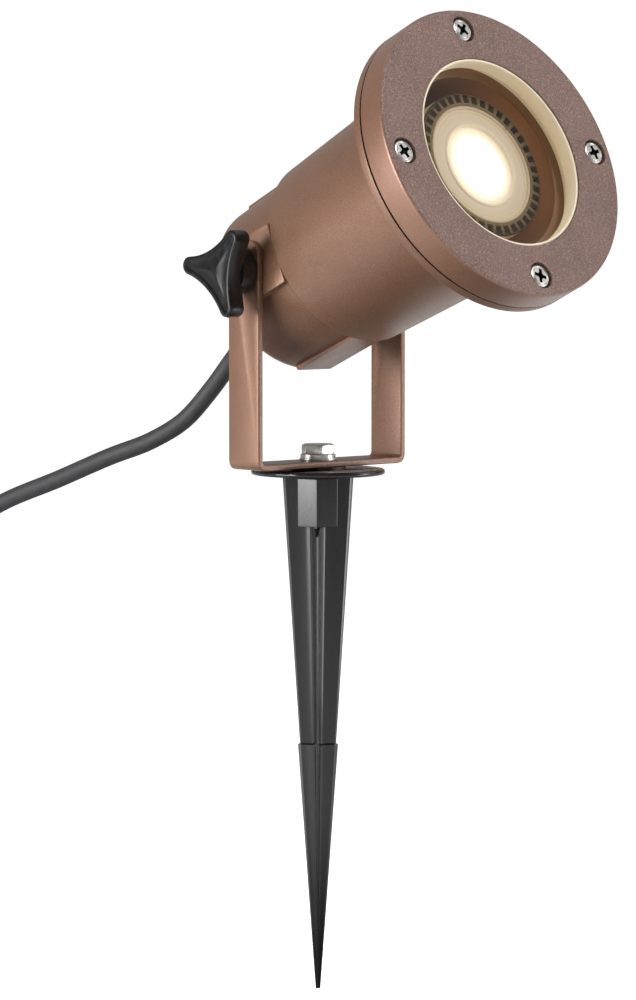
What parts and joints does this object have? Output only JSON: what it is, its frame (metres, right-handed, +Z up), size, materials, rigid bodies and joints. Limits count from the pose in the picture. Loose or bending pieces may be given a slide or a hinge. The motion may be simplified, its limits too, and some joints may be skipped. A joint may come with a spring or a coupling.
{
  "type": "garden spike spotlight",
  "caption": "Round garden spotlight with a copper-brown metal head in a tilting U bracket on a black ground spike, with a rubber cord and flat plug.",
  "frame": {"origin": "on the spike's axis at the underside of its flange, the soil line", "axes": "+Z up along the spike's axis, -Y the way the head looks at rest, X along the tilt axis with the knob on -X"},
  "size_m": [0.1043, 0.4592, 0.3277],
  "materials": {
    "copper_paint": "satin",
    "cast_paint": "satin",
    "bezel_paint": "satin",
    "gloss_black": "gloss",
    "matte_black": "matte",
    "black_rubber": "matte",
    "cream_silicone": "satin",
    "steel": "satin",
    "brass": "satin",
    "glass": "gloss",
    "lamp_white": "satin",
    "lamp_diffuser": "matte",
    "ceramic": "matte"
  },
  "bodies": {
    "ground": {"spike": "gloss_black", "spike_nut": "steel", "swivel_bolt": "steel", "spring_washer": "steel", "flat_washer": "steel"},
    "bracket": {"bracket": "copper_paint", "cord_lead": "black_rubber", "cord_coil": "black_rubber", "coil_tie": "matte_black", "plug_body": "black_rubber", "plug_pins": "steel"},
    "head": {"housing": "cast_paint", "bezel": "bezel_paint", "bezel_screws": "steel", "front_glass": "glass", "glass_gasket": "cream_silicone", "housing_seal": "black_rubber", "lamp_body": "lamp_white", "lamp_lens": "lamp_diffuser", "lamp_pins": "steel", "lamp_holder": "ceramic", "holder_strap": "steel", "holder_screws": "steel", "supply_wires": "black_rubber", "gland_body": "matte_black", "gland_seal": "black_rubber", "gland_locknut": "brass", "strain_relief": "black_rubber", "pivot_screw": "steel", "pivot_washer": "steel", "knob_stud": "steel"},
    "clamp": {"clamp_washer": "matte_black"},
    "knob": {"knob": "matte_black"}
  },
  "joints": [
    {"name": "pan", "type": "hinge", "parent": "ground", "child": "bracket", "pos_m": [0, 0, 0.0022], "axis": [0, 0, 1], "range_deg": [-175, 175]},
    {"name": "tilt", "type": "hinge", "parent": "bracket", "child": "head", "pos_m": [0, 0, 0.0688], "axis": [-1, 0, 0], "range_deg": [-34, 36], "deforming": ["cord_lead"]},
    {"name": "clamp_slide", "type": "slide", "parent": "head", "child": "clamp", "axis": [-1, 0, 0], "range_m": [0, 0.002]},
    {"name": "knob_turn", "type": "hinge", "parent": "clamp", "child": "knob", "pos_m": [-0.04, 0, 0.0688], "axis": [-1, 0, 0], "range_deg": [0, 720]}
  ],
  "couplings": [
    {"joint": "clamp_slide", "follows": "knob_turn", "m_per_rad": 0.00015915}
  ]
}
